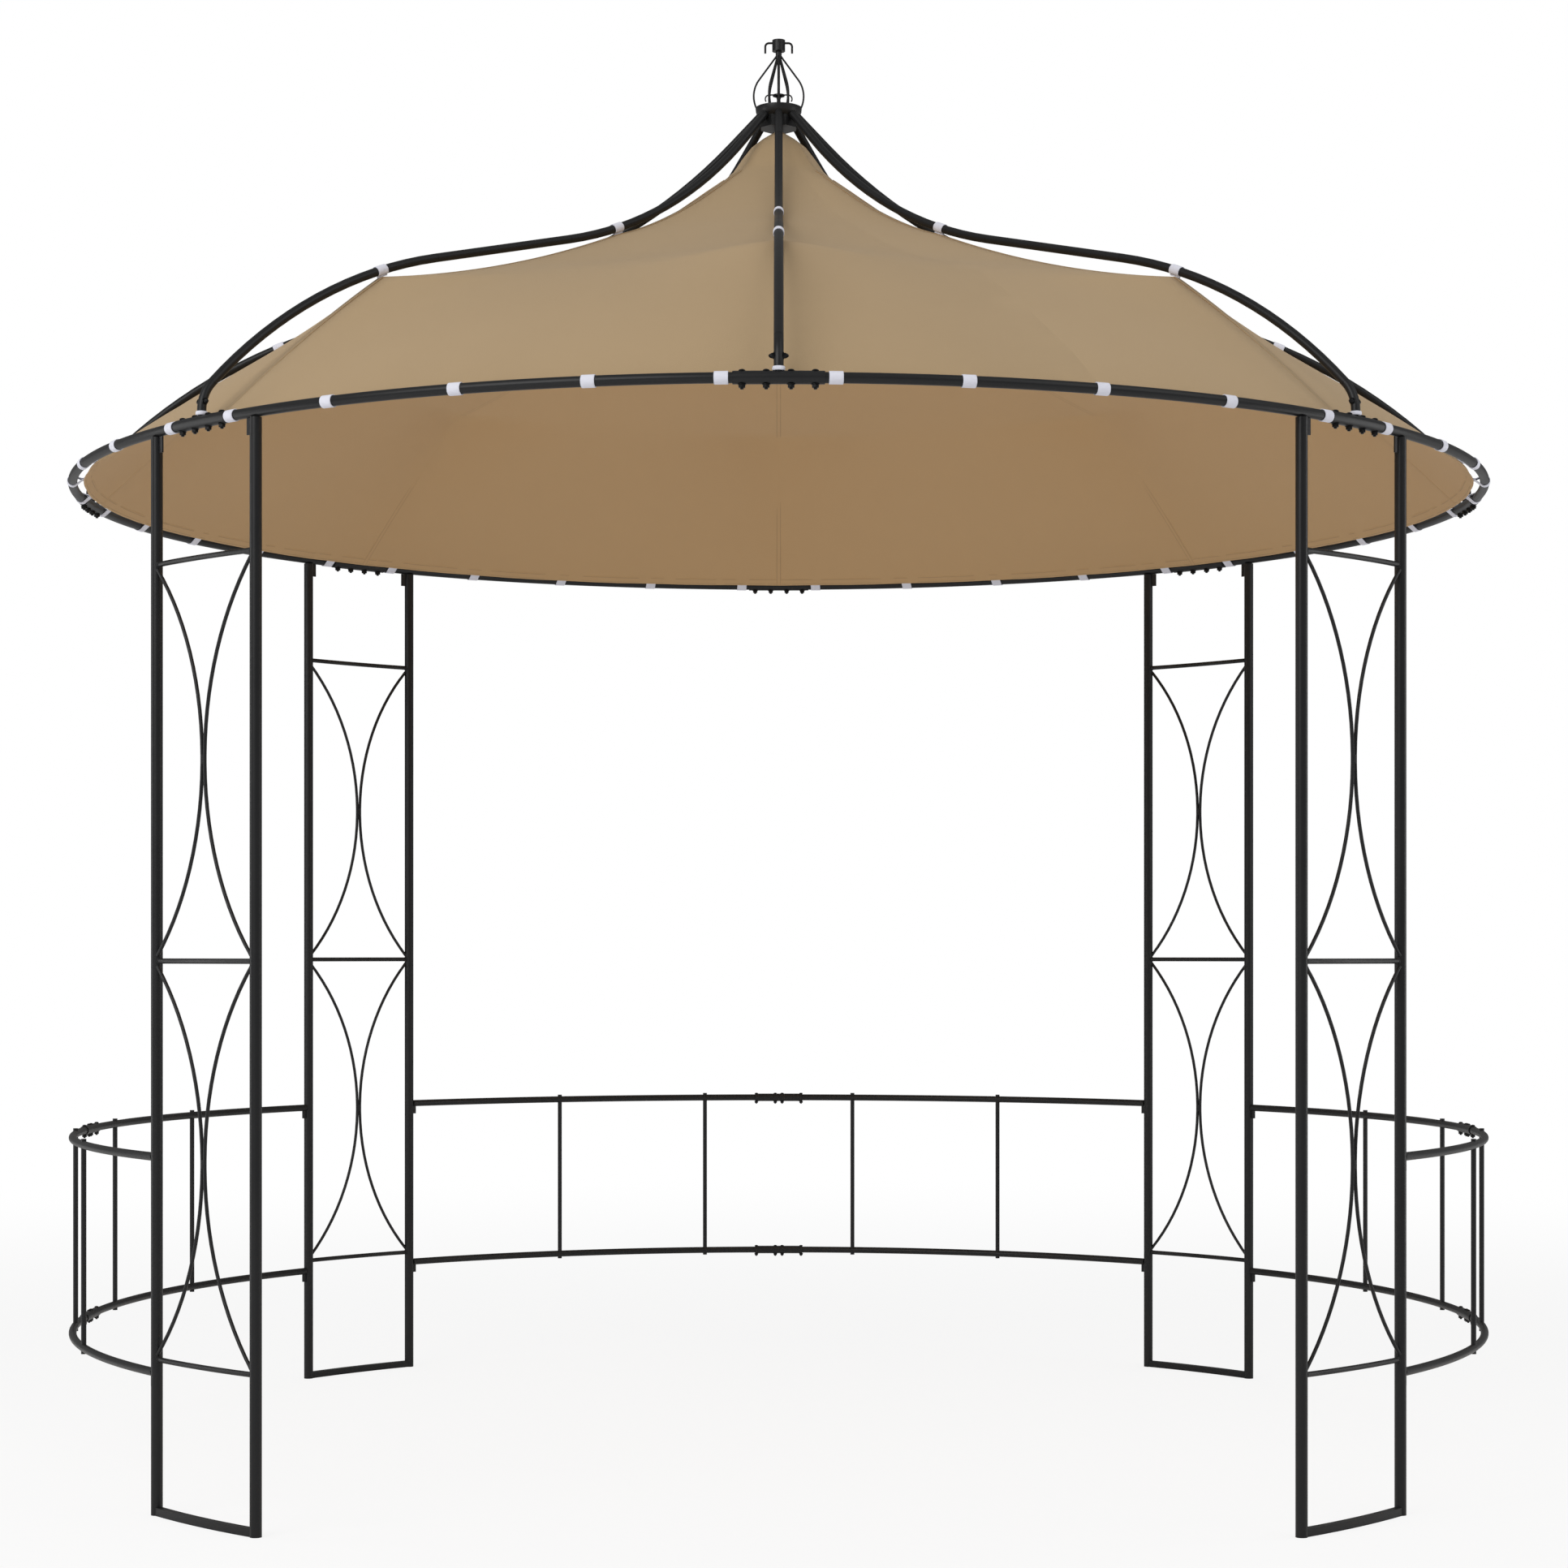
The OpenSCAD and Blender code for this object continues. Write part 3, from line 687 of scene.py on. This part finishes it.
def bolt(part, grip, thread, at):
    """A bolt up through Z = 0: domed head above, washer, hexagon nut and thread end below."""
    head, washer = thread * 1.05, thread * 1.25
    washer_t = 0.9 * MM
    dome = [(head * math.cos(t), grip + 0.55 * head * math.sin(t)) for t in np.linspace(0, 1.45, 6)]
    part.turned(dome, 16, at)
    part.turned([(washer, -grip - washer_t), (washer, -grip)], 16, at)
    nut_low, nut_high = -grip - washer_t - thread * 0.9, -grip - washer_t
    part.turned([(thread * 0.92, nut_low), (thread * 1.08, nut_low + thread * 0.12),
                 (thread * 1.08, nut_high)], 6, at)
    part.turned([(thread * 0.42, nut_low - thread * 0.45), (thread * 0.52, nut_low - thread * 0.3),
                 (thread * 0.52, nut_low)], 12, at)


def plan_angle(length):
    """Angle around the plan, in degrees, for a length along the ring."""
    return math.degrees(length / RING_R)


def ring_bolts():
    """Four bolts through each of the ring's sleeves."""
    part = Part("ring_bolts", STEEL, "frame")
    for k in range(RIBS):
        for offset in RING_BOLTS_AT:
            turn = around(FRONT + k * RIB_STEP + plan_angle(offset))
            place = turn @ Matrix.Translation((RING_R, 0, RING_Z))
            bolt(part, SLEEVE_R - SEAT_SUNK, RING_BOLT_THREAD, place)
    return part.object()


def rail_bolts():
    """Four small bolts through each rail sleeve of the fences."""
    part = Part("rail_bolts", STEEL, "frame")
    for side in FENCE_SIDES:
        for z in RAIL_HEIGHTS:
            for offset in RAIL_BOLTS_AT:
                place = around(side + plan_angle(offset)) @ Matrix.Translation((RING_R, 0, z))
                bolt(part, RAIL_SLEEVE_R - SEAT_SUNK, RAIL_BOLT_THREAD, place)
    return part.object()


def rib_screws():
    """A screw across each rib's foot, with a pointed cap nut on both sides."""
    part = Part("rib_screws", STEEL, "frame")
    z = RIB_FOOT_Z + 18 * MM
    r = RING_R - 2 * MM
    start = RIB_TUBE_R - 0.5 * MM
    washer, washer_top = 6.2 * MM, start + 1.2 * MM
    nut, nut_top = 5.2 * MM, start + 4 * MM
    cap_outline = [(4.4, 4), (3.6, 6.4), (1.9, 8.6), (0.5, 9.4)]
    cap = [(width * MM, start + height * MM) for width, height in cap_outline]
    for k in range(RIBS):
        for side in (-1, 1):
            place = (around(FRONT + k * RIB_STEP) @ Matrix.Translation((r, 0, z))
                     @ Matrix.Rotation(math.radians(-90 * side), 4, "X"))
            part.turned([(washer, start), (washer, washer_top)], 18, place)
            part.turned([(nut, washer_top), (nut, nut_top)], 6, place)
            part.turned(cap, 14, place)
    return part.object()


def weld_beads():
    """A bead round the end of each crossbar, where it meets a column tube."""
    part = Part("weld_beads", COAT, "frame")
    bead_r = 1.3 * MM
    half = math.degrees(math.asin(COLUMN_W / 2 / RING_R))
    inset = math.degrees((COLUMN_TUBE_R + 0.2 * MM) / RING_R)
    turns = [math.radians(t) for t in np.linspace(-90, 90, 6)]
    outline = [(CROSSBAR_R + bead_r * math.cos(t), bead_r * math.sin(t)) for t in turns]
    for corner in COLUMN_CORNERS:
        for z in CROSSBAR_HEIGHTS:
            for side in (-1, 1):
                place = (around(corner + side * (half - inset)) @ Matrix.Translation((RING_R, 0, z))
                         @ Matrix.Rotation(math.radians(90), 4, "X"))
                part.turned(outline, 22, place)
    return part.object()


# ---- Crown details ----

def hub_skirt():
    """A rounded skirt under the hub's plate, over the ends of the ribs."""
    part = Part("hub_skirt", COAT, "frame")
    plate_t = 3 * MM
    plate_low_z = PLATE_TOP_Z - plate_t
    outline = [(37, -20), (42, -17.5), (46.5, -12.5), (49.3, -6), (49.8, 0)]
    part.turned([(r * MM, plate_low_z + z * MM) for r, z in outline], 48)
    return part.object()


def finial_hooks():
    """Four small hooks that curl out from the spindle's flange, between the cage bars."""
    part = Part("finial_hooks", COAT, "frame")
    z = PLATE_TOP_Z + 29 * MM
    reach, curl_r, wire_r = 20 * MM, 9 * MM, 1.5 * MM
    for quarter in (0, 90, 180, 270):
        turn = around(quarter)
        path = [Vector((r * MM, 0, z)) for r in (9, 14, 20)]
        path += [Vector((reach + curl_r * math.sin(t), 0, z - curl_r * (1 - math.cos(t))))
                 for t in np.linspace(0.2, 2.2, 10)]
        across = Vector((0, 1, 0))

        def sides_of(i):
            heading = (path[min(i + 1, len(path) - 1)] - path[max(i - 1, 0)]).normalized()
            return across, heading.cross(across).normalized()

        part.swept(path, sides_of, disc_section(wire_r, 10), at=turn)
    return part.object()


# ---- Assembly ----

def coat_frame():
    """The frame's CAD pieces keep their shape and get the powder coat."""
    for name, node in nodes.items():
        if name in ("canopy", "ring_loops", "rib_loops"):
            continue
        node.data.materials.clear()
        node.data.materials.append(COAT)


coat_frame()
cloth = Cloth()
canopy = roof_sheet(cloth)
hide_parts("canopy")
seams = seam_tapes(cloth)
hem = edge_hem(cloth)
ring_tape = ring_ties(cloth)
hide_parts("ring_loops")
rib_tape = rib_ties(cloth)
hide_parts("rib_loops")
ring_bolts()
rail_bolts()
rib_screws()
weld_beads()
hub_skirt()
finial_hooks()


# ---- Studio ----

def floor():
    """A plain pale floor that fades to the white of the surroundings away from the object."""
    mesh = bpy.data.meshes.new("floor")
    far = 60.0
    mesh.from_pydata([(-far, -far, 0), (far, -far, 0), (far, far, 0), (-far, far, 0)], [], [(0, 1, 2, 3)])
    n = Nodes("floor")
    here = n.add("TexCoord").outputs["Object"]
    away = n.add("VectorMath", {"operation": "LENGTH"}, i0=here).outputs["Value"]
    near, distant = 2.0, 8.0
    fade = n.add("MapRange", {"interpolation_type": "SMOOTHSTEP"},
                 Value=away, i1=near, i2=distant, i3=0.84, i4=1.0)
    camera_ray = n.add("LightPath").outputs["Is Camera Ray"]
    white = n.add("Emission", Color=(1, 1, 1, 1), Strength=1.0)
    n.set(Base_Color=(0.88, 0.88, 0.88, 1), Roughness=0.9, Specular_IOR_Level=0.1)
    mix = n.add("MixShader", i0=n.math("MULTIPLY", camera_ray, fade.outputs[0]),
                i1=n.shader.outputs[0], i2=white.outputs[0])
    n.feed(n.output.inputs["Surface"], mix.outputs[0])
    mesh.materials.append(n.material)
    piece = bpy.data.objects.new("floor", mesh)
    bpy.context.scene.collection.objects.link(piece)


AMBIENT = 0.50
GLOSS_LEVEL = 0.28


def surroundings():
    """Even light from all round, white where the camera sees it and dimmer where a gloss does."""
    world = bpy.data.worlds.new("studio")
    bpy.context.scene.world = world
    world.use_nodes = True
    tree = world.node_tree
    light = tree.nodes["Background"]
    light.inputs["Color"].default_value = (1, 1, 1, 1)
    light.inputs["Strength"].default_value = AMBIENT
    white = tree.nodes.new("ShaderNodeBackground")
    white.inputs["Color"].default_value = (1, 1, 1, 1)
    dim = tree.nodes.new("ShaderNodeBackground")
    dim.inputs["Strength"].default_value = GLOSS_LEVEL
    path = tree.nodes.new("ShaderNodeLightPath")
    gloss = tree.nodes.new("ShaderNodeMixShader")
    tree.links.new(path.outputs["Is Glossy Ray"], gloss.inputs[0])
    tree.links.new(light.outputs[0], gloss.inputs[1])
    tree.links.new(dim.outputs[0], gloss.inputs[2])
    mix = tree.nodes.new("ShaderNodeMixShader")
    tree.links.new(path.outputs["Is Camera Ray"], mix.inputs[0])
    tree.links.new(gloss.outputs[0], mix.inputs[1])
    tree.links.new(white.outputs[0], mix.inputs[2])
    tree.links.new(mix.outputs[0], tree.nodes["World Output"].inputs["Surface"])


def soft_box(name, place, size, power, target=(0, 0, 1.4)):
    """A large round lamp that faces the object."""
    lamp = bpy.data.lights.new(name, "AREA")
    lamp.shape = "DISK"
    lamp.size = size
    lamp.energy = power
    piece = bpy.data.objects.new(name, lamp)
    piece.location = place
    piece.rotation_euler = (Vector(target) - Vector(place)).to_track_quat("-Z", "Y").to_euler()
    bpy.context.scene.collection.objects.link(piece)


def side_strip(name, x, power):
    """An upright strip light beside the object, which draws a pale edge along the outer tubes."""
    lamp = bpy.data.lights.new(name, "AREA")
    lamp.shape = "RECTANGLE"
    lamp.size, lamp.size_y = 0.7, 2.6
    lamp.energy = power
    piece = bpy.data.objects.new(name, lamp)
    piece.location = (x, -0.6, 1.5)
    piece.rotation_euler = (math.radians(90), 0, math.radians(90 if x > 0 else -90))
    bpy.context.scene.collection.objects.link(piece)


def camera():
    """A level view from the open front, 6.7 m from the middle, shifted to frame the object."""
    lens = bpy.data.cameras.new("camera")
    lens.sensor_width = 36.0
    lens.lens = 71.57
    lens.shift_x = 0.0034
    lens.shift_y = 0.1088
    piece = bpy.data.objects.new("camera", lens)
    piece.location = (0.0, -6.745, 1.044)
    piece.rotation_euler = (math.radians(90), 0, 0)
    bpy.context.scene.collection.objects.link(piece)
    bpy.context.scene.camera = piece


floor()
surroundings()
soft_box("key", place=(-4.5, -6.5, 5.5), size=6.5, power=300.0)
soft_box("fill", place=(5.0, -4.0, 6.0), size=6.0, power=85.0)
side_strip("left_strip", x=-3.4, power=14.0)
side_strip("right_strip", x=3.4, power=14.0)
camera()
bpy.context.scene.view_settings.view_transform = "Standard"
